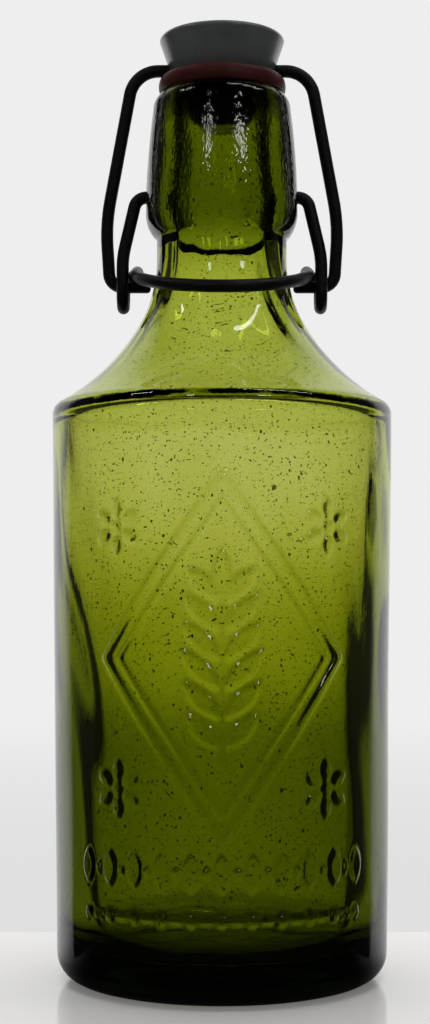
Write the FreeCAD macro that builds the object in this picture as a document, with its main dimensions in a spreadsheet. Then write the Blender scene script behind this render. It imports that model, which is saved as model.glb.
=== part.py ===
"""Swing top bottle: a thick glass bottle with a wire closure.

The frame has +Z up, the origin at the centre of the base and the lever's handle at the front, on -Y.
Lengths are in millimetres and angles in degrees.
"""
import FreeCAD, Part
import math
import os
import Sketcher

Vector = FreeCAD.Vector

DIMENSIONS = [
    # Glass, outside
    ("foot_radius", 29.4),
    ("punt_radius", 22.0),
    ("punt_height", 4.0),
    ("heel_radius", 5.8),
    ("body_radius", 36.2),
    ("shoulder_corner", 2.84),
    ("shoulder_radius", 46.37),
    ("shoulder_turn", 60.2),
    ("flare_radius", 28.37),
    ("flare_turn", 31.0),
    ("neck_radius", 14.0),
    ("neck_low", 153.4),
    ("neck_high", 157.6),
    ("blob_radius", 16.35),
    ("blob_low", 163.2),
    ("blob_underside", 7.6),
    ("blob_top_radius", 14.75),
    ("blob_high", 185.4),
    ("blob_side", 190.0),
    ("lip_radius", 11.3),
    ("lip_height", 189.2),
    ("lip_edge", 3.75),
    # Glass, inside
    ("mouth_edge", 1.7),
    ("mouth_radius", 8.15),
    ("bore_radius", 8.0),
    ("bore_low", 177.0),
    ("neck_bore", 9.7),
    ("shoulder_wall", 3.0),
    ("cavity_corner", 4.0),
    ("cavity_top_radius", 33.3),
    ("cavity_low_radius", 27.0),
    ("cavity_low", 40.0),
    ("cavity_heel", 7.0),
    ("cavity_floor", 7.0),
    # Lever pivot and its dimples in the glass
    ("pivot_height", 166.8),
    ("dimple_radius", 1.405),
    ("dimple_floor", 12.7),
    # Stopper and washer
    ("head_top", 201.0),
    ("head_radius", 13.3),
    ("head_edge", 1.0),
    ("head_rim", 200.0),
    ("cone_radius", 10.5),
    ("seat_height", 191.8),
    ("stem_radius", 5.8),
    ("stem_low", 188.8),
    ("plug_radius", 7.1),
    ("plug_wide", 184.2),
    ("plug_bottom", 180.1),
    ("plug_tip_radius", 4.6),
    ("plug_edge", 4.2),
    ("wire_hole_height", 193.9),
    ("wire_hole_radius", 1.385),
    ("washer_low", 189.5),
    ("washer_high", 192.3),
    ("washer_radius", 13.5),
    ("washer_bore", 6.0),
    ("washer_recess", 10.8),
    ("washer_edge", 1.4),
    # Wires
    ("wire_radius", 1.325),
    ("wire_end", 0.8),
    ("eye_back", 2.9),
    ("eye_height", 148.1),
    ("yoke_half_width", 18.8),
    ("yoke_bend", 6.2),
    ("leg_half_width", 25.0),
    ("leg_knee_height", 161.5),
    ("leg_knee_bend", 40.0),
    ("hook_half_width", 24.2),
    ("hook_tip", 15.4),
    ("pin_end", 13.0),
    ("pin_corner", 18.3),
    ("pin_bend", 2.6),
    ("arm_half_width", 21.3),
    ("arm_knee_height", 154.0),
    ("arm_knee_bend", 20.0),
    ("eye_bottom", 143.6),
    ("eye_shift_height", 148.2),
    ("eye_shift_bend", 3.0),
    ("eye_top", 152.1),
    ("eye_top_bend", 2.2),
    ("handle_radius", 18.3),
    ("handle_height", 150.3),
]

doc = FreeCAD.newDocument("swing_top_bottle")
sheet = doc.addObject("Spreadsheet::Sheet", "dim")
for row, (alias, number) in enumerate(DIMENSIONS, start=1):
    sheet.set(f"A{row}", alias)
    sheet.set(f"B{row}", str(number))
    sheet.setAlias(f"B{row}", alias)
doc.recompute()


def value(expression):
    """Number that an expression in the sheet's aliases gives."""
    return float(sheet.evalExpression(str(expression)))


# Sketch helpers


def new_body(label):
    return doc.addObject("PartDesign::Body", label)


def origin_plane(body, role):
    return next(plane for plane in body.Origin.OriginFeatures if plane.Role == role)


def new_sketch(body, name, role, offset=None):
    """Sketch on one of the body's origin planes, moved along the plane's normal by offset."""
    sketch = body.newObject("Sketcher::SketchObject", name)
    sketch.AttachmentSupport = [(origin_plane(body, role), "")]
    sketch.MapMode = "FlatFace"
    if offset is not None:
        sketch.setExpression("AttachmentOffset.Base.z", offset)
    return sketch


def bind(sketch, constraint, name, expression):
    """Add a dimension to a sketch and bind it to the sheet."""
    index = sketch.addConstraint(constraint)
    sketch.renameConstraint(index, name)
    sketch.setExpression(f"Constraints.{name}", expression)


def pin_point(sketch, geometry, end, name, across, up):
    """Fix a point of a sketch at a place given by two expressions."""
    for kind, axis, expression in (("DistanceX", -2, across), ("DistanceY", -1, up)):
        number = value(expression)
        if abs(number) < 1e-9:
            sketch.addConstraint(Sketcher.Constraint("PointOnObject", geometry, end, axis))
        elif number > 0:
            rule = Sketcher.Constraint(kind, -1, 1, geometry, end, number)
            bind(sketch, rule, f"{name}_{kind}", expression)
        else:
            rule = Sketcher.Constraint(kind, geometry, end, -1, 1, -number)
            bind(sketch, rule, f"{name}_{kind}", f"-({expression})")


def arc_between(start, finish, radius, turn):
    """Arc of under a half circle. turn is +1 to the left of the way from start to finish, -1 to the right."""
    chord = finish - start
    middle = (start + finish) * 0.5
    rise = math.sqrt(radius**2 - (chord.Length / 2) ** 2)
    left = Vector(-chord.y, chord.x, 0).normalize()
    centre = middle + left * rise * turn
    first, last = (start, finish) if turn > 0 else (finish, start)
    begin = math.atan2(first.y - centre.y, first.x - centre.x)
    end = math.atan2(last.y - centre.y, last.x - centre.x)
    return Part.ArcOfCircle(Part.Circle(centre, Vector(0, 0, 1), radius), begin, end)


def draw_outline(sketch, corners):
    """Closed outline. A corner is (across, up) before a line, or (across, up, radius, turn) before an arc."""
    places = [Vector(value(corner[0]), value(corner[1]), 0) for corner in corners]
    ends = []
    for number, corner in enumerate(corners):
        start = places[number]
        finish = places[(number + 1) % len(corners)]
        if len(corner) == 2:
            sketch.addGeometry(Part.LineSegment(start, finish), False)
            ends.append((1, 2))
        else:
            radius, turn = corner[2], corner[3]
            edge = sketch.addGeometry(arc_between(start, finish, value(radius), turn), False)
            ends.append((1, 2) if turn > 0 else (2, 1))
            rule = Sketcher.Constraint("Radius", edge, value(radius))
            bind(sketch, rule, f"corner{number}_Radius", radius)
    for number, corner in enumerate(corners):
        following = (number + 1) % len(corners)
        join = Sketcher.Constraint("Coincident", number, ends[number][1], following, ends[following][0])
        sketch.addConstraint(join)
        pin_point(sketch, number, ends[number][0], f"corner{number}", corner[0], corner[1])


def turn_solid(body, name, corners):
    """Solid of revolution about Z from a closed outline in the XZ plane."""
    sketch = new_sketch(body, f"{name}_outline", "XZ_Plane")
    draw_outline(sketch, corners)
    solid = body.newObject("PartDesign::Revolution", name)
    solid.Profile = sketch
    solid.ReferenceAxis = (sketch, ["V_Axis"])
    solid.Angle = 360
    doc.recompute()
    return solid


def draw_circle(sketch, across, up, radius):
    centre = Vector(value(across), value(up), 0)
    edge = sketch.addGeometry(Part.Circle(centre, Vector(0, 0, 1), value(radius)), False)
    bind(sketch, Sketcher.Constraint("Radius", edge, value(radius)), "circle_Radius", radius)
    pin_point(sketch, edge, 3, "circle", across, up)


def check_cut(body, pocket, before):
    """Check that a cut took material away, and give the volume that is left."""
    doc.recompute()
    volume = body.Shape.Volume
    assert volume < before - 1, f"{pocket.Label} cuts nothing"
    return volume


# Glass bottle


def make_glass_bottle():
    body = new_body("glass_bottle")
    flare_x = "(dim.neck_radius + dim.flare_radius)"
    join_x = f"{flare_x} - dim.flare_radius * cos(dim.flare_turn)"
    join_z = "dim.neck_low - dim.flare_radius * sin(dim.flare_turn)"
    arch_x = f"({join_x} + dim.shoulder_radius * cos(dim.flare_turn))"
    arch_z = f"({join_z} + dim.shoulder_radius * sin(dim.flare_turn))"
    edge_x = f"{arch_x} - dim.shoulder_radius * cos(dim.shoulder_turn)"
    edge_z = f"{arch_z} - dim.shoulder_radius * sin(dim.shoulder_turn)"
    wall_top = f"{edge_z} - dim.shoulder_corner * sin(dim.shoulder_turn)"
    punt_curve = "(dim.punt_radius^2 + dim.punt_height^2) / (2 * dim.punt_height)"
    # The cavity's shoulder has the same centre as the outside, and its corner touches that arc from below.
    inner_arch = "(dim.shoulder_radius + dim.shoulder_wall)"
    inner_join_x = f"{arch_x} - {inner_arch} * cos(dim.flare_turn)"
    inner_join_z = f"{arch_z} - {inner_arch} * sin(dim.flare_turn)"
    inner_flare = f"(({inner_join_x} - dim.neck_bore) / (1 - cos(dim.flare_turn)))"
    inner_flare_top = f"{inner_join_z} + {inner_flare} * sin(dim.flare_turn)"
    reach = f"({inner_arch} + dim.cavity_corner)"
    corner_x = "(dim.cavity_top_radius - dim.cavity_corner)"
    corner_drop = f"sqrt({reach}^2 - ({arch_x} - {corner_x})^2)"
    touch_x = f"{arch_x} - ({arch_x} - {corner_x}) * {inner_arch} / {reach}"
    touch_z = f"{arch_z} - {corner_drop} * {inner_arch} / {reach}"
    # The wall thickens downwards along two equal arcs that bend opposite ways.
    cavity_top = f"({arch_z} - {corner_drop})"
    inset = "(dim.cavity_top_radius - dim.cavity_low_radius)"
    fall = f"({cavity_top} - dim.cavity_low)"
    sway = f"({fall}^2 + {inset}^2) / (4 * {inset})"
    corners = [
        ("0", "dim.punt_height", punt_curve, -1),
        ("dim.punt_radius", "0"),
        ("dim.foot_radius", "0", "dim.heel_radius", 1),
        ("dim.foot_radius + dim.heel_radius", "dim.heel_radius"),
        ("dim.body_radius", wall_top, "dim.shoulder_corner", 1),
        (edge_x, edge_z, "dim.shoulder_radius", -1),
        (join_x, join_z, "dim.flare_radius", -1),
        ("dim.neck_radius", "dim.neck_low"),
        ("dim.neck_radius", "dim.neck_high", "dim.blob_underside", 1),
        ("dim.blob_radius", "dim.blob_low", "dim.blob_side", 1),
        ("dim.blob_top_radius", "dim.blob_high", "dim.lip_edge", 1),
        ("dim.lip_radius", "dim.lip_height"),
        ("dim.mouth_radius + dim.mouth_edge", "dim.lip_height", "dim.mouth_edge", 1),
        ("dim.mouth_radius", "dim.lip_height - dim.mouth_edge"),
        ("dim.bore_radius", "dim.bore_low"),
        ("dim.neck_bore", inner_flare_top, inner_flare, 1),
        (inner_join_x, inner_join_z, inner_arch, 1),
        (touch_x, touch_z, "dim.cavity_corner", -1),
        ("dim.cavity_top_radius", cavity_top, sway, -1),
        (f"dim.cavity_low_radius + {inset} / 2", f"dim.cavity_low + {fall} / 2", sway, 1),
        ("dim.cavity_low_radius", "dim.cavity_low"),
        ("dim.cavity_low_radius", "dim.cavity_floor + dim.cavity_heel", "dim.cavity_heel", -1),
        ("dim.cavity_low_radius - dim.cavity_heel", "dim.cavity_floor"),
        ("0", "dim.cavity_floor"),
    ]
    turn_solid(body, "blown_glass", corners)
    before = body.Shape.Volume
    sketch = new_sketch(body, "dimple_circle", "YZ_Plane", "dim.dimple_floor")
    draw_circle(sketch, "0", "dim.pivot_height", "dim.dimple_radius")
    dimple = body.newObject("PartDesign::Pocket", "dimple")
    dimple.Profile = sketch
    dimple.Type = "ThroughAll"
    dimple.Reversed = True
    one_dimple = check_cut(body, dimple, before)
    mirror = body.newObject("PartDesign::Mirrored", "dimples")
    mirror.Originals = [dimple]
    mirror.MirrorPlane = (origin_plane(body, "YZ_Plane"), [""])
    body.Tip = mirror
    check_cut(body, mirror, one_dimple)
    return body


# Stopper and washer


def make_porcelain_stopper():
    body = new_body("porcelain_stopper")
    corners = [
        ("0", "dim.plug_bottom"),
        ("dim.plug_tip_radius", "dim.plug_bottom", "dim.plug_edge", 1),
        ("dim.plug_radius", "dim.plug_wide"),
        ("dim.stem_radius", "dim.stem_low"),
        ("dim.stem_radius", "dim.seat_height"),
        ("dim.cone_radius", "dim.seat_height"),
        ("dim.head_radius", "dim.head_rim", "dim.head_edge", 1),
        ("dim.head_radius - dim.head_edge", "dim.head_top"),
        ("0", "dim.head_top"),
    ]
    turn_solid(body, "turned_porcelain", corners)
    before = body.Shape.Volume
    sketch = new_sketch(body, "wire_hole_circle", "YZ_Plane")
    draw_circle(sketch, "0", "dim.wire_hole_height", "dim.wire_hole_radius")
    hole = body.newObject("PartDesign::Pocket", "wire_hole")
    hole.Profile = sketch
    hole.Type = "ThroughAll"
    hole.Midplane = True
    check_cut(body, hole, before)
    return body


def make_rubber_washer():
    body = new_body("rubber_washer")
    corners = [
        ("dim.washer_bore", "dim.washer_low"),
        ("dim.washer_radius - dim.washer_edge", "dim.washer_low", "dim.washer_edge", 1),
        ("dim.washer_radius", "dim.washer_low + dim.washer_edge", "dim.washer_edge", 1),
        ("dim.washer_radius - dim.washer_edge", "dim.washer_high"),
        ("dim.washer_recess", "dim.washer_high"),
        ("dim.washer_recess", "dim.seat_height"),
        ("dim.washer_bore", "dim.seat_height"),
    ]
    turn_solid(body, "ring", corners)
    return body


# Bail wire


def rounded_run(corners):
    """Straight runs and tangent arcs through corner points, as Part edges. A corner is (point, radius)."""
    edges = []
    here = corners[0][0]
    for number in range(1, len(corners) - 1):
        before = corners[number - 1][0]
        point, radius = corners[number]
        after = corners[number + 1][0]
        arriving = (point - before).normalize()
        leaving = (after - point).normalize()
        half_turn = arriving.getAngle(leaving) / 2
        length = radius * math.tan(half_turn)
        start = point - arriving * length
        finish = point + leaving * length
        inward = (leaving - arriving).normalize()
        middle = point + inward * radius * (1 / math.cos(half_turn) - 1)
        if (start - here).Length > 1e-6:
            edges.append(Part.LineSegment(here, start))
        edges.append(Part.Arc(start, middle, finish))
        here = finish
    edges.append(Part.LineSegment(here, corners[-1][0]))
    return edges


def draw_bent_path(sketch, corners):
    """Open path of straight runs and tangent arcs. A corner is (across, up, bend radius or None at an end)."""
    points = [Vector(value(across), value(up), 0) for across, up, bend in corners]
    bends = [value(bend) if bend else 0 for across, up, bend in corners]
    edges = rounded_run(list(zip(points, bends)))
    for edge in edges:
        sketch.addGeometry(edge, False)
    last = len(corners) - 1
    for number, (across, up, bend) in enumerate(corners):
        if number == 0:
            pin_point(sketch, 0, 1, "first", across, up)
        elif number == last:
            pin_point(sketch, len(edges) - 1, 2, "last", across, up)
        else:
            run, arc = 2 * number - 2, 2 * number - 1
            corner = sketch.addGeometry(Part.Point(points[number]), True)
            pin_point(sketch, corner, 1, f"corner{number}", across, up)
            sketch.addConstraint(Sketcher.Constraint("PointOnObject", corner, 1, run))
            sketch.addConstraint(Sketcher.Constraint("PointOnObject", corner, 1, run + 2))
            bind(sketch, Sketcher.Constraint("Radius", arc, bends[number]), f"bend{number}", bend)
            for line, line_end in ((run, 2), (run + 2, 1)):
                arc_end = nearest_end(edges[arc], edges[line], line_end)
                sketch.addConstraint(Sketcher.Constraint("Tangent", line, line_end, arc, arc_end))


def nearest_end(arc, line, line_end):
    """Which end of a sketch's arc, 1 or 2, meets the given end of a line."""
    place = line.StartPoint if line_end == 1 else line.EndPoint
    curve = arc.toShape().Curve
    flipped = curve.Axis.z < 0
    starts_here = (arc.StartPoint - place).Length < (arc.EndPoint - place).Length
    return 1 if starts_here != flipped else 2


def make_bail_wire():
    """One wire in a plane that leans back from the stopper's hole to the lever's eyes."""
    body = new_body("bail_wire")
    drop = "(dim.wire_hole_height - dim.eye_height)"
    length = f"sqrt({drop}^2 + dim.eye_back^2)"
    hook_bend = "dim.eye_back"
    knee = "dim.leg_knee_height - dim.wire_hole_height"
    half = [
        ("dim.hook_tip", f"-{length}", None),
        ("dim.hook_half_width", f"-{length}", hook_bend),
        ("dim.leg_half_width", knee, "dim.leg_knee_bend"),
        ("dim.yoke_half_width", "0", "dim.yoke_bend"),
    ]
    other_half = [(f"-{across}", up, bend) for across, up, bend in reversed(half)]
    path = new_sketch(body, "bail_path", "XZ_Plane")
    draw_bent_path(path, half + other_half)
    profile = new_sketch(body, "bail_section", "YZ_Plane", "dim.hook_tip")
    draw_circle(profile, "0", f"-{length}", "dim.wire_radius")
    doc.recompute()
    pipe = body.newObject("PartDesign::AdditivePipe", "bent_bail")
    pipe.Profile = profile
    pipe.Spine = path
    doc.recompute()
    round_ends(body, pipe, value("dim.hook_tip"))
    body.Placement.Rotation = FreeCAD.Rotation(Vector(1, 0, 0), 1)
    body.setExpression("Placement.Rotation.Angle", f"atan(dim.eye_back / {drop})")
    body.setExpression("Placement.Base.z", "dim.wire_hole_height")
    doc.recompute()
    return body


def round_ends(body, pipe, tip):
    """Round the two ends of a wire that stop at +tip and -tip along X."""
    names = []
    for number, edge in enumerate(pipe.Shape.Edges, start=1):
        centre = edge.BoundBox.Center
        if edge.BoundBox.XLength < 1e-4 and abs(abs(centre.x) - tip) < 1e-3:
            names.append(f"Edge{number}")
    fillet = body.newObject("PartDesign::Fillet", "rounded_ends")
    fillet.Base = (pipe, names)
    fillet.setExpression("Radius", "dim.wire_end")
    doc.recompute()


# Lever wire


def make_lever_wire():
    """One wire: pin, arm, eye, handle, eye, arm, pin. Its path leaves the plane at the eyes."""
    arm = value("dim.arm_half_width")
    back = 2 * value("dim.eye_back")
    eye_bottom = value("dim.eye_bottom")
    pivot = value("dim.pivot_height")
    handle = value("dim.handle_radius")
    handle_height = value("dim.handle_height")
    eye_top = value("dim.eye_top")
    half = [
        (Vector(value("dim.pin_end"), 0, pivot), 0),
        (Vector(value("dim.pin_corner"), 0, pivot), value("dim.pin_bend")),
        (Vector(arm, 0, value("dim.arm_knee_height")), value("dim.arm_knee_bend")),
        (Vector(arm, 0, eye_bottom), value("dim.eye_back")),
        (Vector(arm, back, eye_bottom), value("dim.eye_back")),
        (Vector(arm, back, value("dim.eye_shift_height")), value("dim.eye_shift_bend")),
        (Vector(handle, back, eye_top), value("dim.eye_top_bend")),
        (Vector(handle, 0, handle_height), 0),
    ]
    mirrored = [(Vector(-point.x, point.y, point.z), bend) for point, bend in reversed(half)]
    slope = Vector(0, -back, handle_height - eye_top).normalize()
    left, right = half[-1][0], mirrored[0][0]
    front = Vector(0, 0, handle_height) + slope * handle
    curves = rounded_run(half) + [Part.Arc(left, front, right)] + rounded_run(mirrored)
    path = doc.addObject("Part::Feature", "lever_path")
    path.Shape = Part.Wire([curve.toShape() for curve in curves])
    section = doc.addObject("Part::Circle", "lever_section")
    section.setExpression("Radius", "dim.wire_radius")
    section.Placement.Rotation = FreeCAD.Rotation(Vector(0, 1, 0), 90)
    section.setExpression("Placement.Base.x", "dim.pin_end")
    section.setExpression("Placement.Base.z", "dim.pivot_height")
    sweep = doc.addObject("Part::Sweep", "bent_lever")
    sweep.Sections = [section]
    sweep.Spine = (path, [f"Edge{number}" for number in range(1, len(curves) + 1)])
    sweep.Solid = True
    sweep.Frenet = False
    doc.recompute()
    expected = path.Shape.Length * math.pi * value("dim.wire_radius") ** 2
    assert abs(sweep.Shape.Volume / expected - 1) < 0.01, "the lever's sweep has a wrong volume"
    lever = doc.addObject("Part::Fillet", "lever_wire")
    lever.Base = sweep
    rounding = value("dim.wire_end")
    pin_end = value("dim.pin_end")
    ends = []
    for number, edge in enumerate(sweep.Shape.Edges, start=1):
        flat = edge.BoundBox.XLength < 1e-4
        if flat and abs(abs(edge.BoundBox.Center.x) - pin_end) < 1e-3:
            ends.append((number, rounding, rounding))
    lever.Edges = ends
    doc.recompute()
    return lever


# Build and write


def write_parts(parts):
    for item in doc.Objects:
        failed = [word for word in item.State if word in ("Invalid", "Error")]
        assert not failed, f"{item.Label} is {failed}"
    os.makedirs("parts", exist_ok=True)
    for part in parts:
        shape = part.Shape
        assert not shape.isNull() and shape.isValid(), f"{part.Label} has no valid shape"
        assert len(shape.Solids) == 1, f"{part.Label} isn't one solid"
        shape.exportStep(f"parts/{part.Label}.step")
        print(f"{part.Label}: {shape.Volume / 1000:.2f} cubic centimetres")


write_parts([
    make_glass_bottle(),
    make_porcelain_stopper(),
    make_rubber_washer(),
    make_bail_wire(),
    make_lever_wire(),
])
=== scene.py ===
"""Looks of the swing top bottle: seedy green glass, porcelain stopper, red washer and black wires.

The frame is the part's own, in metres: +Z up, the origin under the base, the lever's handle on -Y.
Shapes of the glass and the washer are in millimetres, as in the part's source, and scaled once.
"""
import math

import bpy
import numpy as np
from mathutils import Matrix, Vector


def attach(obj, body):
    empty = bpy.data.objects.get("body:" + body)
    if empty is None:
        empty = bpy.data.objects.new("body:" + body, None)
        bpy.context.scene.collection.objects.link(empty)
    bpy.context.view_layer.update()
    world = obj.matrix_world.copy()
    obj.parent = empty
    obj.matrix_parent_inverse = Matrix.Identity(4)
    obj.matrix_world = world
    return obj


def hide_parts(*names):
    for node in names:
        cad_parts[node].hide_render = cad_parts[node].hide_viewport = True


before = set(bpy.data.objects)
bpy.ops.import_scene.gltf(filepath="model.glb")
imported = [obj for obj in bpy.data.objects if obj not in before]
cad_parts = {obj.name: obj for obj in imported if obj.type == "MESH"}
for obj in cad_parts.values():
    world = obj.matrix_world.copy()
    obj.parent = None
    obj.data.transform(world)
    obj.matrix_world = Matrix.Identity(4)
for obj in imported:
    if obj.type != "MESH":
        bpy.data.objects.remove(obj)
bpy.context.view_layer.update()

MM = 0.001
FULL_TURN = 2 * math.pi


# Nodes


# Sockets of a Mix node that are reached by number, because the node has several of the same name
MIX_FIRST_COLOUR = 6
MIX_SECOND_COLOUR = 7
MIX_COLOUR_RESULT = 2

# A higher skew makes more of the specks small. The core is the share of a speck that is fully dark.
SPECK_SKEW = 2.5
SPECK_CORE = 0.7


class Nodes:
    """Short way to add nodes to a material or the world.

    A socket takes a number, a colour or another socket.
    """

    def __init__(self, owner):
        owner.use_nodes = True
        self.tree = owner.node_tree
        self.tree.nodes.clear()

    def add(self, kind, sockets=None, **settings):
        node = self.tree.nodes.new(kind)
        for name, setting in settings.items():
            setattr(node, name, setting)
        for name, content in (sockets or {}).items():
            if isinstance(content, bpy.types.NodeSocket):
                self.tree.links.new(content, node.inputs[name])
            else:
                node.inputs[name].default_value = content
        return node

    def math(self, operation, first, second=0.0):
        node = self.add("ShaderNodeMath", {0: first, 1: second}, operation=operation)
        return node.outputs[0]

    def ramp(self, source, low, high, to_low=0.0, to_high=1.0):
        """Smooth step of a number from to_low at low to to_high at high."""
        sockets = {"Value": source, "From Min": low, "From Max": high, "To Min": to_low, "To Max": to_high}
        node = self.add("ShaderNodeMapRange", sockets, interpolation_type="SMOOTHSTEP")
        return node.outputs["Result"]

    def mix_colour(self, share, first, second):
        sockets = {"Factor": share, MIX_FIRST_COLOUR: first, MIX_SECOND_COLOUR: second}
        node = self.add("ShaderNodeMix", sockets, data_type="RGBA")
        return node.outputs[MIX_COLOUR_RESULT]

    def mix_shader(self, share, first, second):
        return self.add("ShaderNodeMixShader", {0: share, 1: first.outputs[0], 2: second.outputs[0]})

    def split(self, vector):
        """The X, Y and Z outputs of a vector."""
        return self.add("ShaderNodeSeparateXYZ", {"Vector": vector}).outputs

    def place(self, scale=(1, 1, 1)):
        """The piece's own coordinates in metres, stretched by scale."""
        spot = self.add("ShaderNodeTexCoord").outputs["Object"]
        if scale == (1, 1, 1):
            return spot
        return self.add("ShaderNodeMapping", {"Vector": spot, "Scale": scale}).outputs["Vector"]

    def noise(self, period_mm, detail=3.0, scale=(1, 1, 1), roughness=0.5):
        sockets = {
            "Vector": self.place(scale),
            "Scale": 1 / (period_mm * MM),
            "Detail": detail,
            "Roughness": roughness,
        }
        return self.add("ShaderNodeTexNoise", sockets).outputs["Fac"]

    def specks(self, cell_mm, smallest_mm, largest_mm, scale=(1, 1, 1)):
        """1 inside scattered round specks, 0 elsewhere. Each cell's speck has a size of its own."""
        per_metre = 1 / (cell_mm * MM)
        cells = self.add("ShaderNodeTexVoronoi", {"Vector": self.place(scale), "Scale": per_metre})
        chance = self.add("ShaderNodeSeparateColor", {"Color": cells.outputs["Color"]}).outputs["Red"]
        skewed = self.math("POWER", chance, SPECK_SKEW)
        size = self.ramp(skewed, 0.0, 1.0, smallest_mm / cell_mm, largest_mm / cell_mm)
        ratio = self.math("DIVIDE", cells.outputs["Distance"], size)
        return self.ramp(ratio, SPECK_CORE, 1.0, 1.0, 0.0)

    def bump(self, height, depth_mm, strength=1.0, normal=None):
        sockets = {"Height": height, "Distance": depth_mm * MM, "Strength": strength}
        if normal is not None:
            sockets["Normal"] = normal
        return self.add("ShaderNodeBump", sockets).outputs["Normal"]

    def output(self, kind, surface, volume=None):
        sockets = {"Surface": surface}
        if volume is not None:
            sockets["Volume"] = volume
        self.add(kind, sockets)


def new_material(name):
    material = bpy.data.materials.new(name)
    return material, Nodes(material)


def finish_material(nodes, sockets, volume=None):
    shader = nodes.add("ShaderNodeBsdfPrincipled", sockets)
    nodes.output("ShaderNodeOutputMaterial", shader.outputs[0], volume)


# Materials


# Colour of the glass and how much of the other colours a metre of it takes away
GLASS_COLOUR = (0.75, 0.782, 0.10, 1)
GLASS_DENSITY = 400.0
GLASS_IOR = 1.5
SEED_COLOUR = (0.03, 0.035, 0.01, 1)

# Tints of the glass's skin, and the heights in millimetres between which each one fades in or out
CLEAR = (1, 1, 1, 1)
BASE_TINT = (0.42, 0.44, 0.26, 1)
BASE_FADE = (12.2, 15.2)
THICK_WALL_TINT = (0.70, 0.72, 0.5, 1)
THICK_WALL_FADE = (47.0, 66.0)
SHOULDER_TINT = (0.93, 0.965, 0.80, 1)
SHOULDER_FADE = (117.0, 130.0)
LIP_TINT = (0.51, 0.56, 0.36, 1)
LIP_FADE = (153.0, 163.0)
UPPER_LIP_TINT = (0.64, 0.67, 0.45, 1)
UPPER_LIP_FADE = (160.0, 178.0)
# Painted shade: the lip's top under the washer is tinted dark, standing in for the washer's shade seen
# through the glass
SEAT_PAINTED_SHADE = (0.14, 0.145, 0.08, 1)
SEAT_SHADE_FADE = (182.6, 183.8)

# Ripples are strong on the lip and faint below it. They and the larger seeds are drawn out upwards.
RIPPLE_FADE = (157.0, 165.0)
FAINT_RIPPLE = 0.07
RIPPLE_STRETCH = (1, 1, 0.45)
SEED_STRETCH = (1, 1, 0.75)

# Porcelain greys darkened by painted shade: the stopper is pale porcelain that stands in deep shade
PORCELAIN_SHADED_DARK = (0.060, 0.063, 0.066, 1)
PORCELAIN_SHADED_LIGHT = (0.078, 0.081, 0.084, 1)
PORCELAIN_SPECK = (0.03, 0.026, 0.022, 1)

# Rubber reds darkened by painted shade: the washer is brighter red rubber that stands in deep shade
RUBBER_SHADED_DARK = (0.040, 0.002, 0.002, 1)
RUBBER_SHADED_LIGHT = (0.052, 0.004, 0.004, 1)
RUBBER_SHEEN = (1.0, 0.72, 0.72, 1)

WIRE_LACQUER = (0.0045, 0.0045, 0.005, 1)
WIRE_RUST = (0.016, 0.011, 0.008, 1)


def glass_tint_and_seat_shade(nodes, height):
    """Colour of the clean skin by height, darker where the glass is thick. Its darkest band, on the lip's
    top under the washer, is painted shade.
    """

    def above(fade):
        return nodes.ramp(height, fade[0] * MM, fade[1] * MM)

    def below(fade):
        return nodes.ramp(height, fade[0] * MM, fade[1] * MM, 1.0, 0.0)

    lip_tint = nodes.mix_colour(above(UPPER_LIP_FADE), LIP_TINT, UPPER_LIP_TINT)
    tint = nodes.mix_colour(above(SHOULDER_FADE), CLEAR, SHOULDER_TINT)
    tint = nodes.mix_colour(above(LIP_FADE), tint, lip_tint)
    tint = nodes.mix_colour(below(THICK_WALL_FADE), tint, THICK_WALL_TINT)
    tint = nodes.mix_colour(below(BASE_FADE), tint, BASE_TINT)
    # Last, the painted shade on the lip's top under the washer
    return nodes.mix_colour(above(SEAT_SHADE_FADE), tint, SEAT_PAINTED_SHADE)


def make_glass_material():
    """Olive green glass with dark seeds and a faintly rippled skin."""
    material, nodes = new_material("olive_glass")
    fine_seeds = nodes.specks(cell_mm=0.9, smallest_mm=0.09, largest_mm=0.24)
    seeds = nodes.specks(cell_mm=1.9, smallest_mm=0.13, largest_mm=0.34, scale=SEED_STRETCH)
    stones = nodes.specks(cell_mm=13.0, smallest_mm=0.2, largest_mm=0.85)
    dirt = nodes.math("MAXIMUM", nodes.math("MAXIMUM", fine_seeds, seeds), stones)
    height = nodes.split(nodes.place())["Z"]
    strength = nodes.ramp(height, RIPPLE_FADE[0] * MM, RIPPLE_FADE[1] * MM, FAINT_RIPPLE, 1.0)
    ripple_noise = nodes.noise(period_mm=0.6, detail=1.0, scale=RIPPLE_STRETCH)
    ripple = nodes.bump(ripple_noise, depth_mm=0.07, strength=strength)
    swell_noise = nodes.noise(period_mm=9.0, detail=2.0, scale=RIPPLE_STRETCH)
    skin = nodes.bump(swell_noise, depth_mm=0.08, normal=ripple)
    inside = nodes.add("ShaderNodeVolumeAbsorption", {"Color": GLASS_COLOUR, "Density": GLASS_DENSITY})
    sockets = {
        "Base Color": nodes.mix_colour(dirt, glass_tint_and_seat_shade(nodes, height), SEED_COLOUR),
        "Roughness": 0.0,
        "IOR": GLASS_IOR,
        "Transmission Weight": 1.0,
        "Normal": skin,
    }
    finish_material(nodes, sockets, inside.outputs[0])
    return material


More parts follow.
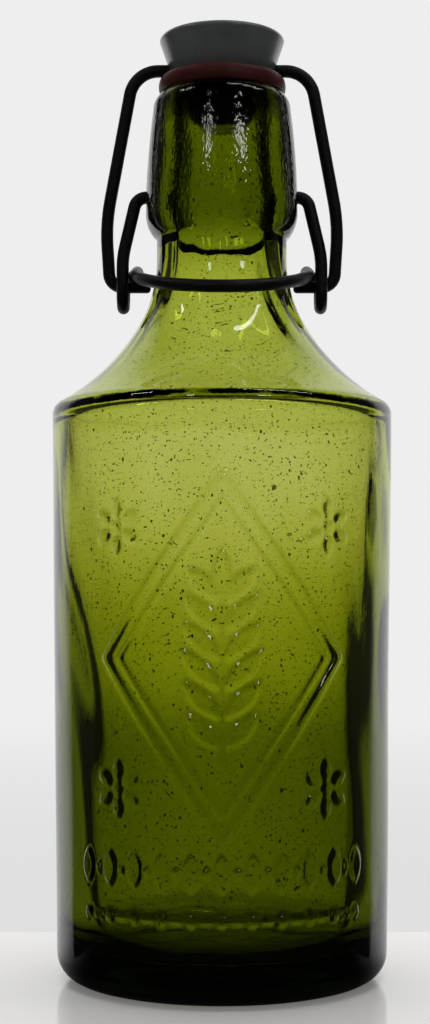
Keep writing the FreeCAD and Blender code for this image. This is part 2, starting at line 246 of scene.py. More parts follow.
def make_porcelain_material():
    """Grey glazed porcelain with faint clouds and a few iron specks. The grey is painted shade on a pale
    porcelain.
    """
    material, nodes = new_material("shade_darkened_porcelain")
    clouds = nodes.noise(period_mm=7.0, detail=4.0)
    tone = nodes.mix_colour(nodes.ramp(clouds, low=0.35, high=0.65), PORCELAIN_SHADED_DARK, PORCELAIN_SHADED_LIGHT)
    specks = nodes.specks(cell_mm=2.6, smallest_mm=0.05, largest_mm=0.22)
    glaze = nodes.bump(nodes.noise(period_mm=2.6, detail=2.0), depth_mm=0.03)
    sockets = {
        "Base Color": nodes.mix_colour(specks, tone, PORCELAIN_SPECK),
        "Roughness": nodes.ramp(clouds, low=0.3, high=0.7, to_low=0.26, to_high=0.36),
        "Coat Weight": 0.5,
        "Coat Roughness": 0.08,
        "Normal": glaze,
    }
    finish_material(nodes, sockets)
    return material


def make_rubber_material():
    """Matte red rubber with a dusty bloom. Its dark red is painted shade on a brighter red rubber."""
    material, nodes = new_material("red_rubber")
    bloom = nodes.noise(period_mm=1.8, detail=5.0)
    grain = nodes.bump(nodes.noise(period_mm=0.35, detail=3.0), depth_mm=0.02)
    sockets = {
        "Base Color": nodes.mix_colour(nodes.ramp(bloom, low=0.35, high=0.7), RUBBER_SHADED_DARK, RUBBER_SHADED_LIGHT),
        "Roughness": nodes.ramp(bloom, low=0.3, high=0.7, to_low=0.4, to_high=0.54),
        "Specular IOR Level": 0.3,
        "Sheen Weight": 0.06,
        "Sheen Roughness": 0.4,
        "Sheen Tint": RUBBER_SHEEN,
        "Normal": grain,
    }
    finish_material(nodes, sockets)
    return material


def make_wire_material():
    """Black lacquered wire with worn, slightly rusty patches."""
    material, nodes = new_material("black_wire")
    wear = nodes.noise(period_mm=3.5, detail=6.0, roughness=0.65)
    grain = nodes.bump(nodes.noise(period_mm=0.5, detail=4.0), depth_mm=0.018)
    sockets = {
        "Base Color": nodes.mix_colour(nodes.ramp(wear, low=0.60, high=0.74), WIRE_LACQUER, WIRE_RUST),
        "Roughness": nodes.ramp(wear, low=0.35, high=0.7, to_low=0.34, to_high=0.6),
        "Specular IOR Level": 0.3,
        "Normal": grain,
    }
    finish_material(nodes, sockets)
    return material


# Outlines and meshes


LEFT = 1
RIGHT = -1


def arc_points(start, finish, radius, turn, steps):
    """Points after start along an arc of under a half circle, which turns LEFT or RIGHT of its way."""
    start, finish = np.array(start), np.array(finish)
    chord = finish - start
    length = np.hypot(chord[0], chord[1])
    left = np.array((-chord[1], chord[0])) / length
    centre = (start + finish) / 2 + left * turn * math.sqrt(radius**2 - length**2 / 4)
    spoke = start - centre
    sweep = 2 * math.asin(length / 2 / radius) * turn
    angles = math.atan2(spoke[1], spoke[0]) + sweep * np.linspace(0, 1, steps + 1)[1:]
    return centre + radius * np.column_stack((np.cos(angles), np.sin(angles)))


def line_points(start, finish, steps):
    shares = np.linspace(0, 1, steps + 1)[1:, None]
    return np.array(start) + (np.array(finish) - np.array(start)) * shares


def walk(start, legs):
    """Points of an outline.

    A leg is (finish, steps) for a line or (finish, steps, radius, turn) for an arc.
    """
    points = [np.array([start], float)]
    for leg in legs:
        here = tuple(points[-1][-1])
        if len(leg) == 2:
            points.append(line_points(here, leg[0], leg[1]))
        else:
            finish, steps, radius, turn = leg
            points.append(arc_points(here, finish, radius, turn, steps))
    return np.vstack(points)


def waves(angles, heights, seed, counts, period_mm):
    """Smooth unevenness of about unit size, closed around the axis."""
    dice = np.random.default_rng(seed)
    total = np.zeros(np.broadcast(angles, heights).shape)
    for count in counts:
        turn = dice.uniform(0, FULL_TURN)
        climb = dice.uniform(-1, 1) * FULL_TURN / period_mm
        total += np.sin(count * angles + climb * heights + turn)
    return total / math.sqrt(len(counts))


def ring_points(radius, height, angles):
    """Points in metres of rings around the axis, shaped (rings, points in each, 3). Angle 0 is the front."""
    return np.stack((radius * np.sin(angles), -radius * np.cos(angles), height + 0 * angles), axis=2) * MM


def new_mesh(name, points, faces):
    mesh = bpy.data.meshes.new(name)
    mesh.from_pydata(points, [], faces)
    return mesh


def lathe_mesh(name, rings, first_height, last_height):
    """Closed mesh from rings of points, with a point on the axis before the first and after the last."""
    rows, columns = rings.shape[:2]
    points = np.vstack((rings.reshape(-1, 3), [(0, 0, first_height), (0, 0, last_height)]))
    first_pole, last_pole = rows * columns, rows * columns + 1
    number = np.arange(rows * columns).reshape(rows, columns)
    following = np.roll(number, -1, axis=1)
    quads = np.stack((number[:-1], following[:-1], following[1:], number[1:]), axis=2).reshape(-1, 4)
    faces = quads.tolist()
    faces += [(first_pole, b, a) for a, b in zip(number[0].tolist(), following[0].tolist())]
    faces += [(a, b, last_pole) for a, b in zip(number[-1].tolist(), following[-1].tolist())]
    mesh = new_mesh(name, points.tolist(), faces)
    mesh.shade_smooth()
    return mesh


def ring_mesh(name, rings):
    """Closed mesh from rings of points whose last ring meets the first."""
    rows, columns = rings.shape[:2]
    number = np.arange(rows * columns).reshape(rows, columns)
    beside = np.roll(number, -1, axis=1)
    above, above_beside = np.roll(number, -1, axis=0), np.roll(beside, -1, axis=0)
    quads = np.stack((number, beside, above_beside, above), axis=2).reshape(-1, 4)
    mesh = new_mesh(name, rings.reshape(-1, 3).tolist(), quads.tolist())
    mesh.shade_smooth()
    return mesh


def add_object(name, mesh):
    piece = bpy.data.objects.new(name, mesh)
    bpy.context.scene.collection.objects.link(piece)
    return piece


def bore_across(piece, height, radius, start, finish):
    """Cut a round hole along X, from start to finish, all in millimetres."""
    sides = 48
    turns = np.linspace(0, FULL_TURN, sides, endpoint=False)
    circle = [(radius * MM * math.cos(turn), (height + radius * math.sin(turn)) * MM) for turn in turns]
    ends = [[(along * MM, y, z) for y, z in circle] for along in (start, finish)]
    faces = [(side, (side + 1) % sides, sides + (side + 1) % sides, sides + side) for side in range(sides)]
    faces += [tuple(reversed(range(sides))), tuple(range(sides, 2 * sides))]
    mesh = new_mesh("cutter", ends[0] + ends[1], faces)
    cutter = add_object("cutter", mesh)
    cut = piece.modifiers.new("bore", "BOOLEAN")
    cut.operation = "DIFFERENCE"
    cut.solver = "EXACT"
    cut.object = cutter
    bpy.context.view_layer.update()
    graph = bpy.context.evaluated_depsgraph_get()
    result = bpy.data.meshes.new_from_object(piece.evaluated_get(graph), depsgraph=graph)
    piece.modifiers.clear()
    piece.data = result
    bpy.data.objects.remove(cutter)
    bpy.data.meshes.remove(mesh)


# Raised ornament on the glass: a lozenge with a leafy sprig, four rosettes and a border of ovals and beads


# Sizes in millimetres, across at arc length u from the front and up at height z
ORNAMENT_MIDDLE = 69.0
EDGE_SOFTNESS = 0.45
LOZENGE_HALF_WIDTH = 25.5
LOZENGE_HALF_HEIGHT = 36.0
LOZENGE_LINE = 0.8
INNER_LOZENGE_SCALE = 0.86
INNER_LOZENGE_LINE = 0.45
ROSETTE_ACROSS = 22.5
ROSETTE_UP = 26.0


def raised(distance):
    """Height, 0 to 1, from the signed distance to a shape's edge in millimetres."""
    share = np.clip(0.5 - distance / (2 * EDGE_SOFTNESS), 0, 1)
    return share * share * (3 - 2 * share)


def stroke(u, z, start, finish, half_width):
    along_u, along_z = finish[0] - start[0], finish[1] - start[1]
    share = ((u - start[0]) * along_u + (z - start[1]) * along_z) / (along_u**2 + along_z**2)
    share = np.clip(share, 0, 1)
    return raised(np.hypot(u - start[0] - share * along_u, z - start[1] - share * along_z) - half_width)


def bead(u, z, middle, radius):
    return raised(np.hypot(u - middle[0], z - middle[1]) - radius)


def leaf(u, z, root, angle, length, width):
    """Pointed leaf that grows from root, angle degrees to the right of upright."""
    lean = math.radians(angle)
    across = (u - root[0]) * math.cos(lean) - (z - root[1]) * math.sin(lean)
    along = (u - root[0]) * math.sin(lean) + (z - root[1]) * math.cos(lean) - length / 2
    across, along = np.abs(across), np.abs(along)
    half_length, half_width = length / 2, width / 2
    bow = (half_length**2 + half_width**2) / (2 * half_width)
    offset = bow - half_width
    past_tip = (along - half_length) * offset > across * half_length
    to_tip = np.hypot(across, along - half_length)
    to_side = np.hypot(across + offset, along) - bow
    return raised(np.where(past_tip, to_tip, to_side))


def lozenge(u, z, scale, half_line):
    half_width, half_height = scale * LOZENGE_HALF_WIDTH, scale * LOZENGE_HALF_HEIGHT
    tips = [
        (0, ORNAMENT_MIDDLE + half_height),
        (half_width, ORNAMENT_MIDDLE),
        (0, ORNAMENT_MIDDLE - half_height),
        (-half_width, ORNAMENT_MIDDLE),
    ]
    sides = [stroke(u, z, tips[number - 1], tips[number], half_line) for number in range(len(tips))]
    return np.maximum.reduce(sides)


def sprig(u, z):
    """Upright stem with a leaf at its top and pairs of leaves, the longest just below the middle."""
    foot, top = ORNAMENT_MIDDLE - 21, ORNAMENT_MIDDLE + 12
    stem_half_width = 0.55
    top_leaf_length, top_leaf_width, top_leaf_sink = 10.5, 3.8, 1
    pairs, longest_pair = 6, 2
    longest, shortening, leaf_width = 11.0, 0.8, 3.6
    lean, root_across = 46, 0.4
    lowest = foot + 3.5
    climb = (top - foot - 4) / (pairs - 1)
    shapes = [
        stroke(u, z, (0, foot), (0, top), stem_half_width),
        leaf(u, z, (0, top - top_leaf_sink), 0, top_leaf_length, top_leaf_width),
    ]
    for number in range(pairs):
        height = lowest + number * climb
        length = longest - shortening * abs(number - longest_pair)
        for side in (-1, 1):
            shapes.append(leaf(u, z, (side * root_across, height), side * lean, length, leaf_width))
    return np.maximum.reduce(shapes)


def rosette(u, z, middle):
    bead_radius = 1.2
    petals, petal_root, petal_length, petal_width = 6, 1.7, 4.0, 2.1
    shapes = [bead(u, z, middle, bead_radius)]
    for number in range(petals):
        turn = 360 * number / petals
        lean = math.radians(turn)
        root = (middle[0] + petal_root * math.sin(lean), middle[1] + petal_root * math.cos(lean))
        shapes.append(leaf(u, z, root, turn, petal_length, petal_width))
    return np.maximum.reduce(shapes)


def border(u, z):
    """Row of upright ovals with small beads between them, above a row of beads and dashes."""
    spacing, each_side = 6.2, 5
    oval_foot, oval_length, oval_width = 23.6, 7.2, 3.4
    small_bead_height, small_bead_radius = 27.0, 0.8
    low_row, bead_radius = 17.6, 1.15
    dash_gap, dash_half_width = 2.1, 0.5
    shapes = []
    for number in range(-each_side, each_side + 1):
        middle = number * spacing
        shapes.append(leaf(u, z, (middle, oval_foot), 0, oval_length, oval_width))
        shapes.append(bead(u, z, (middle, low_row), bead_radius))
        if number < each_side:
            shapes.append(bead(u, z, (middle + spacing / 2, small_bead_height), small_bead_radius))
            dash_start, dash_finish = (middle + dash_gap, low_row), (middle + spacing - dash_gap, low_row)
            shapes.append(stroke(u, z, dash_start, dash_finish, dash_half_width))
    return np.maximum.reduce(shapes)


def ornament(u, z):
    """Height of the ornament, 0 to 1, at arc length u from the front and height z, in millimetres."""
    shapes = [
        lozenge(u, z, 1.0, LOZENGE_LINE),
        lozenge(u, z, INNER_LOZENGE_SCALE, INNER_LOZENGE_LINE),
        sprig(u, z),
        border(u, z),
    ]
    for side in (-1, 1):
        for up in (-1, 1):
            shapes.append(rosette(u, z, (side * ROSETTE_ACROSS, ORNAMENT_MIDDLE + up * ROSETTE_UP)))
    return np.maximum.reduce(shapes)


# Glass bottle


# Outside, from the base up, in millimetres. The crease is a low ring that keeps the neck's top corner sharp.
FOOT_RADIUS = 29.4
PUNT_RADIUS = 22.0
PUNT_HEIGHT = 4.0
HEEL_RADIUS = 5.8
BODY_RADIUS = 36.2
SHOULDER_CORNER = 2.84
SHOULDER_RADIUS = 46.37
SHOULDER_TURN = math.radians(60.2)
FLARE_RADIUS = 28.37
FLARE_TURN = math.radians(31.0)
NECK_RADIUS = 14.0
NECK_LOW = 153.4
NECK_HIGH = 157.6
NECK_CREASE = 0.3
BLOB_RADIUS = 16.35
BLOB_LOW = 163.2
BLOB_UNDERSIDE = 7.6
BLOB_TOP_RADIUS = 14.75
BLOB_HIGH = 185.4
BLOB_SIDE = 190.0
LIP_RADIUS = 11.3
LIP_HEIGHT = 189.2
LIP_EDGE = 3.75

# Inside, from the mouth down
MOUTH_EDGE = 1.7
MOUTH_RADIUS = 8.15
BORE_RADIUS = 8.0
BORE_LOW = 177.0
NECK_BORE = 9.7
SHOULDER_WALL = 3.0
CAVITY_CORNER = 4.0
CAVITY_TOP_RADIUS = 33.3
CAVITY_LOW_RADIUS = 27.0
CAVITY_LOW = 40.0
CAVITY_HEEL = 7.0
CAVITY_FLOOR = 7.0

# Blind dimples for the lever's pins
PIVOT_HEIGHT = 166.8
DIMPLE_RADIUS = 1.405
DIMPLE_FLOOR = 12.7

# Part of the wall that carries the ornament, with its columns of points closer together at the front
RELIEF_LOW = 12.0
RELIEF_HIGH = 110.0
RELIEF_DEPTH = 0.55
RELIEF_ROWS = 150
FRONT_EDGE = math.radians(60)
FRONT_COLUMNS = 201
BACK_COLUMNS = 75

# Unevenness of both skins. It dies out towards the lip, the foot and the axis, and at the shoulder's corner.
OUTER_SWELL = 0.10
INNER_SWELL = 0.22
CALM_LIP, CALM_LIP_REACH = 178, 12
CALM_FOOT, CALM_FOOT_REACH = 1, 6
CALM_AXIS_REACH = 12
CALM_CORNER, CALM_CORNER_REACH = 120, 7
CALM_CORNER_SHARE = 0.95


def lower_point(centre, radius, angle):
    """Point of a circle that lies towards the axis from its centre, angle below the horizontal."""
    return centre[0] - radius * math.cos(angle), centre[1] - radius * math.sin(angle)


def shoulder_arch():
    """Point where the flare of the neck meets the shoulder's arch, and the centre of that arch."""
    flare_cos, flare_sin = math.cos(FLARE_TURN), math.sin(FLARE_TURN)
    join = (NECK_RADIUS + FLARE_RADIUS * (1 - flare_cos), NECK_LOW - FLARE_RADIUS * flare_sin)
    centre = (join[0] + SHOULDER_RADIUS * flare_cos, join[1] + SHOULDER_RADIUS * flare_sin)
    return join, centre


def outer_legs():
    """Legs of the outline from the middle of the base, up the outside, to the mouth."""
    join, arch = shoulder_arch()
    edge = lower_point(arch, SHOULDER_RADIUS, SHOULDER_TURN)
    wall_top = edge[1] - SHOULDER_CORNER * math.sin(SHOULDER_TURN)
    punt_curve = (PUNT_RADIUS**2 + PUNT_HEIGHT**2) / (2 * PUNT_HEIGHT)
    heel = (FOOT_RADIUS + HEEL_RADIUS, HEEL_RADIUS)
    taper = (BODY_RADIUS - heel[0]) / (wall_top - heel[1])
    relief_low = (heel[0] + taper * (RELIEF_LOW - heel[1]), RELIEF_LOW)
    relief_high = (heel[0] + taper * (RELIEF_HIGH - heel[1]), RELIEF_HIGH)
    return [
        ((PUNT_RADIUS, 0), 10, punt_curve, RIGHT),
        ((FOOT_RADIUS, 0), 3),
        (heel, 8, HEEL_RADIUS, LEFT),
        (relief_low, 5),
        (relief_high, RELIEF_ROWS),
        ((BODY_RADIUS, wall_top), 6),
        (edge, 8, SHOULDER_CORNER, LEFT),
        (join, 18, SHOULDER_RADIUS, RIGHT),
        ((NECK_RADIUS, NECK_LOW), 8, FLARE_RADIUS, RIGHT),
        ((NECK_RADIUS, NECK_HIGH - NECK_CREASE), 3),
        ((NECK_RADIUS, NECK_HIGH), 1),
        ((BLOB_RADIUS, BLOB_LOW), 8, BLOB_UNDERSIDE, LEFT),
        ((BLOB_TOP_RADIUS, BLOB_HIGH), 14, BLOB_SIDE, LEFT),
        ((LIP_RADIUS, LIP_HEIGHT), 8, LIP_EDGE, LEFT),
        ((MOUTH_RADIUS + MOUTH_EDGE, LIP_HEIGHT), 2),
    ]


def inner_legs():
    """Legs of the outline from the mouth, down the inside, to the middle of the cavity's floor."""
    arch = shoulder_arch()[1]
    inner_arch = SHOULDER_RADIUS + SHOULDER_WALL
    inner_join = lower_point(arch, inner_arch, FLARE_TURN)
    inner_flare = (inner_join[0] - NECK_BORE) / (1 - math.cos(FLARE_TURN))
    inner_flare_top = inner_join[1] + inner_flare * math.sin(FLARE_TURN)
    reach = inner_arch + CAVITY_CORNER
    corner_away = arch[0] - (CAVITY_TOP_RADIUS - CAVITY_CORNER)
    corner_drop = math.sqrt(reach**2 - corner_away**2)
    touch = (arch[0] - corner_away * inner_arch / reach, arch[1] - corner_drop * inner_arch / reach)
    cavity_top = arch[1] - corner_drop
    inset = CAVITY_TOP_RADIUS - CAVITY_LOW_RADIUS
    fall = cavity_top - CAVITY_LOW
    sway = (fall**2 + inset**2) / (4 * inset)
    return [
        ((MOUTH_RADIUS, LIP_HEIGHT - MOUTH_EDGE), 5, MOUTH_EDGE, LEFT),
        ((BORE_RADIUS, BORE_LOW), 9),
        ((NECK_BORE, inner_flare_top), 4),
        (inner_join, 9, inner_flare, LEFT),
        (touch, 14, inner_arch, LEFT),
        ((CAVITY_TOP_RADIUS, cavity_top), 5, CAVITY_CORNER, RIGHT),
        ((CAVITY_LOW_RADIUS + inset / 2, CAVITY_LOW + fall / 2), 9, sway, RIGHT),
        ((CAVITY_LOW_RADIUS, CAVITY_LOW), 9, sway, LEFT),
        ((CAVITY_LOW_RADIUS, CAVITY_FLOOR + CAVITY_HEEL), 3),
        ((CAVITY_LOW_RADIUS - CAVITY_HEEL, CAVITY_FLOOR), 9, CAVITY_HEEL, RIGHT),
        ((0, CAVITY_FLOOR), 4),
    ]


def glass_outline():
    """Outline of half the glass, from the base to the cavity's floor, and how many points are outside."""
    start = (0, PUNT_HEIGHT)
    outer_count = len(walk(start, outer_legs()))
    return walk(start, outer_legs() + inner_legs()), outer_count


def column_angles():
    """Angles around the axis from the front, close together where the raised ornament is."""
    front = np.linspace(-FRONT_EDGE, FRONT_EDGE, FRONT_COLUMNS)
    back = np.linspace(FRONT_EDGE, FULL_TURN - FRONT_EDGE, BACK_COLUMNS)[1:-1]
    return np.concatenate((front, back))


def swell(angles, radius, height, is_outer):
    """Unevenness of the skins in millimetres."""
    off_lip = np.clip((CALM_LIP - height) / CALM_LIP_REACH, 0, 1)
    off_foot = np.clip((height - CALM_FOOT) / CALM_FOOT_REACH, 0, 1)
    off_axis = np.clip(radius / CALM_AXIS_REACH, 0, 1)
    at_corner = np.exp(-(((height - CALM_CORNER) / CALM_CORNER_REACH) ** 2))
    free = off_lip * off_foot * off_axis * (1 - CALM_CORNER_SHARE * at_corner)
    outer = OUTER_SWELL * waves(angles, height, seed=3, counts=(1, 2, 3, 5, 8, 13), period_mm=60)
    inner = INNER_SWELL * waves(angles, height, seed=5, counts=(1, 2, 3, 4, 6, 9, 14), period_mm=45)
    return np.where(is_outer, outer, inner) * free


def glass_points():
    """Rings of the glass in metres, and the heights of the two points on the axis."""
    outline, outer_count = glass_outline()
    direction = np.gradient(outline, axis=0)
    direction /= np.hypot(direction[:, 0], direction[:, 1])[:, None]
    outward = np.column_stack((direction[:, 1], -direction[:, 0]))
    angles = column_angles()[None, :]
    radius, height = outline[1:-1, 0][:, None], outline[1:-1, 1][:, None]
    is_outer = (np.arange(1, len(outline) - 1) < outer_count)[:, None]
    arc_length = BODY_RADIUS * (np.mod(angles + math.pi, FULL_TURN) - math.pi)
    on_wall = is_outer & (height > RELIEF_LOW) & (height < RELIEF_HIGH)
    relief = np.where(on_wall, RELIEF_DEPTH * ornament(arc_length, height), 0)
    push = swell(angles, radius, height, is_outer) + relief
    radius = radius + push * outward[1:-1, 0][:, None]
    height = height + push * outward[1:-1, 1][:, None]
    return ring_points(radius, height, angles), outline[0, 1] * MM, outline[-1, 1] * MM


def make_glass():
    mesh = lathe_mesh("moulded_glass", *glass_points())
    piece = add_object("moulded_glass", mesh)
    past_side = BLOB_RADIUS + 2
    bore_across(piece, PIVOT_HEIGHT, DIMPLE_RADIUS, DIMPLE_FLOOR, past_side)
    bore_across(piece, PIVOT_HEIGHT, DIMPLE_RADIUS, -past_side, -DIMPLE_FLOOR)
    piece.data.materials.clear()
    piece.data.materials.append(make_glass_material())
    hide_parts("glass_bottle")
    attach(piece, "bottle")


# Closure


WASHER_BORE = 6.0
WASHER_RECESS = 10.8
WASHER_SINK = 0.06
WASHER_COLUMNS = 120
SEAT_HEIGHT = 191.8

# Radius up to which the washer is pressed on the lip's rounding
PRESSED_RADIUS = 12.9

# Corners of the washer's free sides as radius and height, before they are rounded
WASHER_RIM = [
    (13.2, 188.9),
    (13.5, 189.5),
    (13.6, 190.3),
    (13.5, 191.2),
    (13.2, 191.9),
    (12.6, 192.3),
    (11.8, 192.3),
]
WASHER_TOP = [
    (WASHER_RECESS, 192.2),
    (WASHER_RECESS, SEAT_HEIGHT),
    (8.0, SEAT_HEIGHT),
    (WASHER_BORE, SEAT_HEIGHT),
]
WASHER_INSIDE = [(WASHER_BORE, 190.6), (WASHER_BORE, 189.4), (7.5, 189.2), (9.0, 189.16)]

# The rim is uneven from this radius outwards and this height upwards
UNEVEN_RADIUS = 12.6
UNEVEN_HEIGHT = 188.6
UNEVEN_REACH = 0.8
UNEVEN_ACROSS = 0.07
UNEVEN_UP = 0.09


def round_corners(points):
    """Closed outline with each corner cut twice at a quarter of its sides."""
    near, far = 0.75, 0.25
    for _ in range(2):
        following = np.roll(points, -1, axis=0)
        pairs = np.stack((near * points + far * following, far * points + near * following), axis=1)
        points = pairs.reshape(-1, 2)
    return points


def washer_outline():
    """Closed outline of the washer, squeezed on the lip: its underside lies a little inside the lip."""
    lip_steps, lip_stride, flat_points = 60, 3, 8
    lip = arc_points((BLOB_TOP_RADIUS, BLOB_HIGH), (LIP_RADIUS, LIP_HEIGHT), LIP_EDGE, LEFT, lip_steps)
    pressed = lip[lip[:, 0] < PRESSED_RADIUS][::-lip_stride]
    pressed = pressed - np.array((WASHER_SINK / 2, WASHER_SINK))
    flat = np.linspace(MOUTH_RADIUS + MOUTH_EDGE, LIP_RADIUS, flat_points)[:-1]
    flat = np.column_stack((flat, np.full(len(flat), LIP_HEIGHT - WASHER_SINK)))
    return round_corners(np.vstack((flat, pressed, WASHER_RIM, WASHER_TOP, WASHER_INSIDE)))


def make_washer():
    """Soft ring with a slightly uneven rim."""
    outline = washer_outline()
    angles = np.linspace(0, FULL_TURN, WASHER_COLUMNS, endpoint=False)[None, :]
    radius, height = outline[:, 0][:, None], outline[:, 1][:, None]
    free_across = np.clip((radius - UNEVEN_RADIUS) / UNEVEN_REACH, 0, 1)
    free = free_across * np.clip((height - UNEVEN_HEIGHT) / UNEVEN_REACH, 0, 1)
    across = waves(angles, height, seed=11, counts=(1, 2, 3, 5, 7), period_mm=30)
    up = waves(angles, 0 * height, seed=12, counts=(1, 2, 3, 4), period_mm=30)
    rings = ring_points(radius + UNEVEN_ACROSS * free * across, height + UNEVEN_UP * free * up, angles)
    piece = add_object("squeezed_washer", ring_mesh("squeezed_washer", rings))
    piece.data.materials.append(make_rubber_material())
    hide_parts("rubber_washer")
    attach(piece, "stopper")


def dress_node(node, material):
    """Give a node of the part a finish of its own."""
    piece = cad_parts[node]
    piece.data.materials.clear()
    piece.data.materials.append(material)


# Stage


# Lit paper behind the object. Its level falls off to the sides, at these angles from straight behind.
PAPER_COLOUR = (0.855, 0.855, 0.855, 1)
PAPER_LIT = math.radians(44)
PAPER_DARK = math.radians(60)
PAPER_SIDE_LEVEL = 0.05
PAPER_NEAR_LEVEL = 0.87
PAPER_FULL_DISTANCE = 0.9

# Through glass the paper behind is narrower by one angle, and the light in front wider by the other
THROUGH_NARROWER = math.radians(17)
THROUGH_WIDER = math.radians(-24)
FRONT_TO_BACK = 0.01

# Table, in metres
TABLE_HALF_SIZE = 3.0
TABLE_BACK_EDGE = 0.051
TABLE_EDGE_BLUR = 0.0004
TABLE_COLOUR = (0.49, 0.48, 0.47, 1)
TABLE_ROUGHNESS = 0.08

# Half of the width on the table that counts as straight behind the bottle
BEHIND_HALF_WIDTH = 0.06

# The table's own glow near the bottle and far from it, and where the far part begins and is full
GLOW_COLOUR = (1.0, 0.985, 0.97, 1)
TABLE_GLOW = 0.13
FAR_GLOW = 0.5
FAR_START = 0.12
FAR_GLOW_FULL = 1.0
FAR_SEEN_FULL = 0.4

# In the object the table's mirror image is painted shade, dark as in a dark room, apart from its lit strip
# at the back
PAINTED_TABLE_SHADE = (0.01, 0.01, 0.01, 1)
LIT_TABLE_START = -0.02
LIT_TABLE_FULL = 0.03

# Light from all round, and the fading of the room by direction: to the front and up
ROOM_LIGHT = (0.3, 0.305, 0.31, 1)
FRONT_MIRRORED_LEVEL = 0.01
FRONT_MIRRORED_FADE = (-0.05, 0.2)
FRONT_THROUGH_LEVEL = 0.85
FRONT_THROUGH_FADE = (-0.3, 0.1)
OVERHEAD_LEVEL = 0.2
OVERHEAD_FADE = (math.sin(math.radians(35)), math.sin(math.radians(62)))


def light_path(nodes):
    return nodes.add("ShaderNodeLightPath").outputs


def show_paper(nodes):
    """1 for what the camera sees straight, mirrored or through glass, and 0 for light on the object."""
    path = light_path(nodes)
    mirrored = nodes.math("MAXIMUM", path["Is Glossy Ray"], path["Is Transmission Ray"])
    return nodes.math("MAXIMUM", path["Is Camera Ray"], mirrored)


def seen_through(nodes):
    """1 for what shows straight through glass.

    It is 0 for what is mirrored inside the glass, or lights a piece behind it.
    """
    path = light_path(nodes)
    turns = nodes.math("ADD", path["Diffuse Depth"], path["Glossy Depth"])
    straight = nodes.math("LESS_THAN", turns, 0.5)
    return nodes.math("MULTIPLY", path["Is Transmission Ray"], straight)


def backlight(nodes, across, back):
    """Level of the lit paper by direction: full behind the object and dark at the sides.

    Through glass it gets dark sooner behind the object, and later in front of it.
    """
    aside = nodes.math("ARCTAN2", nodes.math("ABSOLUTE", across), nodes.math("ABSOLUTE", back))
    narrowing = nodes.ramp(back, -FRONT_TO_BACK, FRONT_TO_BACK, THROUGH_WIDER, THROUGH_NARROWER)
    narrowing = nodes.math("MULTIPLY", light_path(nodes)["Is Transmission Ray"], narrowing)
    return nodes.ramp(nodes.math("ADD", aside, narrowing), PAPER_LIT, PAPER_DARK, 1.0, PAPER_SIDE_LEVEL)


def table_shader(nodes, place, lit):
    """Pale table that glows a little, more so far away. Its mirror image in the object is painted shade, a
    near-black glow.
    """
    path = light_path(nodes)
    distance = nodes.add("ShaderNodeVectorMath", {0: nodes.place()}, operation="LENGTH").outputs["Value"]
    seen = nodes.math("MAXIMUM", path["Is Camera Ray"], nodes.math("MULTIPLY", seen_through(nodes), lit))
    near_glow = nodes.math("MULTIPLY", path["Is Camera Ray"], TABLE_GLOW)
    far_glow = nodes.math("MULTIPLY", seen, nodes.ramp(distance, FAR_START, FAR_GLOW_FULL, 0.0, FAR_GLOW))
    sockets = {
        "Base Color": TABLE_COLOUR,
        "Roughness": TABLE_ROUGHNESS,
        "Emission Color": GLOW_COLOUR,
        "Emission Strength": nodes.math("ADD", near_glow, far_glow),
    }
    table = nodes.add("ShaderNodeBsdfPrincipled", sockets)
    # Painted shade: a near-black glow shown where the object mirrors the table
    dark = nodes.add("ShaderNodeEmission", {"Color": PAINTED_TABLE_SHADE, "Strength": 1.0})
    far_through = nodes.math("MULTIPLY", seen_through(nodes), nodes.ramp(distance, FAR_START, FAR_SEEN_FULL))
    back_strip = nodes.ramp(place["Y"], LIT_TABLE_START, LIT_TABLE_FULL)
    lit_table = nodes.math("MULTIPLY", lit, nodes.math("MAXIMUM", back_strip, far_through))
    unlit = nodes.math("MULTIPLY", path["Is Glossy Ray"], nodes.math("SUBTRACT", 1.0, lit_table))
    return nodes.mix_shader(unlit, table, dark)


def make_floor():
    """Pale table with a back edge, and the lit paper that lies behind it."""
    half = TABLE_HALF_SIZE
    corners = [(-half, -half, 0), (half, -half, 0), (half, half, 0), (-half, half, 0)]
    mesh = new_mesh("floor", corners, [(0, 1, 2, 3)])
    floor = add_object("floor", mesh)
    material, nodes = new_material("pale_floor")
    place = nodes.split(nodes.place())
    past_side = nodes.math("SUBTRACT", nodes.math("ABSOLUTE", place["X"]), BEHIND_HALF_WIDTH)
    lit = backlight(nodes, nodes.math("MAXIMUM", past_side, 0.0), place["Y"])
    table = table_shader(nodes, place, lit)
    shade = nodes.ramp(place["Y"], TABLE_BACK_EDGE, PAPER_FULL_DISTANCE, PAPER_NEAR_LEVEL, 1.0)
    level = nodes.math("MAXIMUM", lit, light_path(nodes)["Is Camera Ray"])
    level = nodes.math("MULTIPLY", level, shade)
    paper = nodes.add("ShaderNodeEmission", {"Color": PAPER_COLOUR, "Strength": level})
    past_edge = nodes.ramp(place["Y"], TABLE_BACK_EDGE - TABLE_EDGE_BLUR, TABLE_BACK_EDGE + TABLE_EDGE_BLUR)
    share = nodes.math("MULTIPLY", past_edge, show_paper(nodes))
    surface = nodes.mix_shader(share, table, paper)
    nodes.output("ShaderNodeOutputMaterial", surface.outputs[0])
    mesh.materials.append(material)


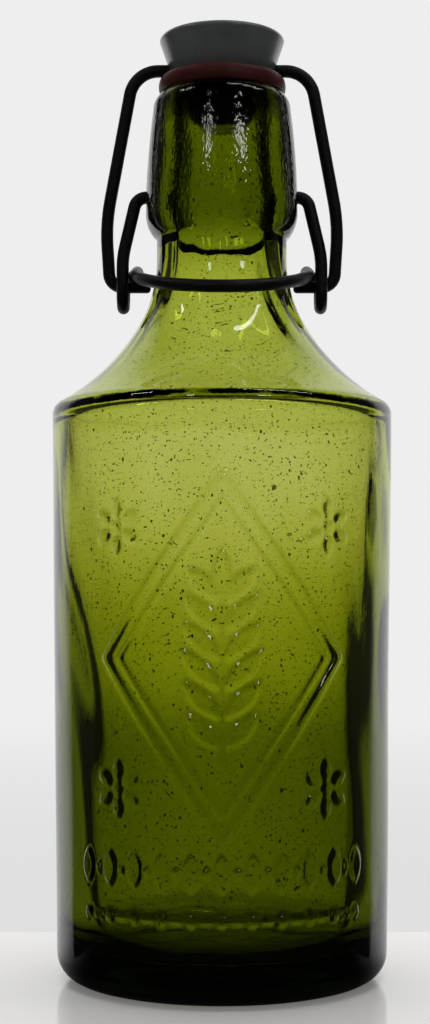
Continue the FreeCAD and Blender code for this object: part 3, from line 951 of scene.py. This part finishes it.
def make_world():
    """Soft even light on the object, and a white backdrop that shows straight and through the glass."""
    world = bpy.data.worlds.new("studio")
    bpy.context.scene.world = world
    nodes = Nodes(world)
    way = nodes.split(nodes.add("ShaderNodeTexCoord").outputs["Generated"])
    front_mirrored = nodes.ramp(way["Y"], *FRONT_MIRRORED_FADE, FRONT_MIRRORED_LEVEL, 1.0)
    front_through = nodes.ramp(way["Y"], *FRONT_THROUGH_FADE, FRONT_THROUGH_LEVEL, 1.0)
    front_through = nodes.math("MULTIPLY", front_through, seen_through(nodes))
    fade_up = nodes.ramp(way["Z"], *OVERHEAD_FADE, 1.0, OVERHEAD_LEVEL)
    level = nodes.math("MAXIMUM", front_mirrored, front_through)
    level = nodes.math("MULTIPLY", level, backlight(nodes, way["X"], way["Y"]))
    level = nodes.math("MULTIPLY", level, fade_up)
    shown = nodes.math("MAXIMUM", level, light_path(nodes)["Is Camera Ray"])
    seen = nodes.add("ShaderNodeBackground", {"Color": PAPER_COLOUR, "Strength": shown})
    light = nodes.add("ShaderNodeBackground", {"Color": ROOM_LIGHT, "Strength": 1.0})
    mixed = nodes.mix_shader(show_paper(nodes), light, seen)
    nodes.output("ShaderNodeOutputWorld", mixed.outputs[0])


# Lamps and camera


LAMP_TARGET = (0, 0, 0.14)

# The photo's size, focal length, bottle axis and eye level in pixels
IMAGE_WIDTH = 430
IMAGE_HEIGHT = 1024
FOCAL_PIXELS = 1823.0
AXIS_PIXEL = 222.0
EYE_LEVEL_PIXEL = 600.0

# The camera's place in metres and the width of its sensor in millimetres
CAMERA_PLACE = (0, -0.3911, 0.0805)
SENSOR_WIDTH = 36.0


def add_lamp(name, place, size, power, along=(0, 0, 1), mirrored=True):
    """Soft lamp of size (across, along) that shines on the bottle's neck, with its length along a direction.

    One that isn't mirrored leaves no image of itself in the glass.
    """
    lamp = bpy.data.lights.new(name, "AREA")
    lamp.shape = "RECTANGLE"
    lamp.size, lamp.size_y = size
    lamp.energy = power
    holder = bpy.data.objects.new(name, lamp)
    back = (Vector(place) - Vector(LAMP_TARGET)).normalized()
    side = Vector(along).cross(back).normalized()
    turn = Matrix((side, back.cross(side), back)).transposed().to_4x4()
    holder.matrix_world = Matrix.Translation(place) @ turn
    holder.visible_glossy = mirrored
    holder.visible_transmission = mirrored
    bpy.context.scene.collection.objects.link(holder)


def make_lamps():
    """A soft lamp above, and four small ones that leave the highlights on the lip and the neck."""
    add_lamp("top_lamp", place=(0, 0.15, 0.95), size=(0.9, 0.7), power=11.0, along=(0, 1, 0), mirrored=False)
    add_lamp("left_strip", place=(-0.30, -0.75, 0.52), size=(0.08, 0.10), power=0.2)
    add_lamp("right_strip", place=(0.40, -0.73, 0.52), size=(0.14, 0.10), power=0.34)
    left_along, right_along = (0.78, 0, 0.63), (0.876, 0.091, -0.473)
    add_lamp("left_spot", place=(-0.51, -0.16, 0.735), size=(0.045, 0.20), power=0.28, along=left_along)
    add_lamp("right_arch", place=(0.32, -0.13, 0.807), size=(0.045, 0.50), power=0.55, along=right_along)


def make_camera():
    camera = bpy.data.cameras.new("camera")
    camera.sensor_width = SENSOR_WIDTH
    camera.lens = SENSOR_WIDTH * FOCAL_PIXELS / IMAGE_HEIGHT
    camera.shift_x = (IMAGE_WIDTH / 2 - AXIS_PIXEL) / IMAGE_HEIGHT
    camera.shift_y = (EYE_LEVEL_PIXEL - IMAGE_HEIGHT / 2) / IMAGE_HEIGHT
    camera.clip_start = 0.01
    holder = bpy.data.objects.new("camera", camera)
    holder.location = CAMERA_PLACE
    holder.rotation_euler = (math.radians(90), 0, 0)
    bpy.context.scene.collection.objects.link(holder)
    bpy.context.scene.camera = holder


# Scene


make_glass()
wire = make_wire_material()
dress_node("porcelain_stopper", make_porcelain_material())
make_washer()
dress_node("bail_wire", wire)
dress_node("lever_wire", wire)
make_floor()
make_world()
make_lamps()
make_camera()
bpy.context.scene.view_settings.view_transform = "Standard"
